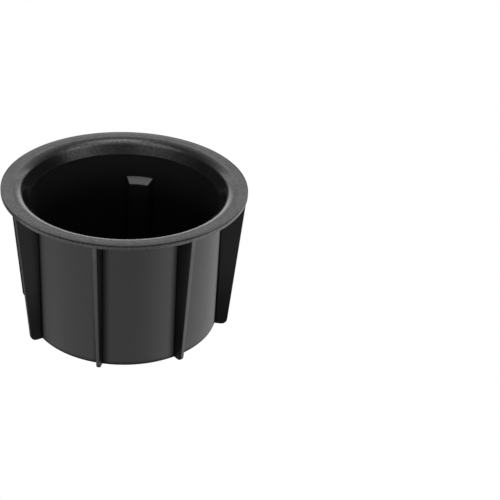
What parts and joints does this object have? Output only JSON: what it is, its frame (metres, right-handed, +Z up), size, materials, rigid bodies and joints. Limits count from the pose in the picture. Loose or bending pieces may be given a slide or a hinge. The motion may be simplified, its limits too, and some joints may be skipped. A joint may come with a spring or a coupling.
{
  "type": "cup holder insert",
  "caption": "Round plastic insert that drops into a car's cup holder well: a thin cup with a wide rim, centring fins outside and grip pads inside.",
  "frame": {"origin": "on the cup's axis, at the base plane that it stands on", "axes": "+Z up along the cup's axis, out of its mouth; -Y faces the picture's camera and +X is to the picture's right"},
  "size_m": [0.096, 0.096, 0.0595],
  "materials": {
    "black_plastic": "satin black, as moulded"
  },
  "bodies": {
    "root": {"cup_insert": "black_plastic"}
  },
  "joints": []
}
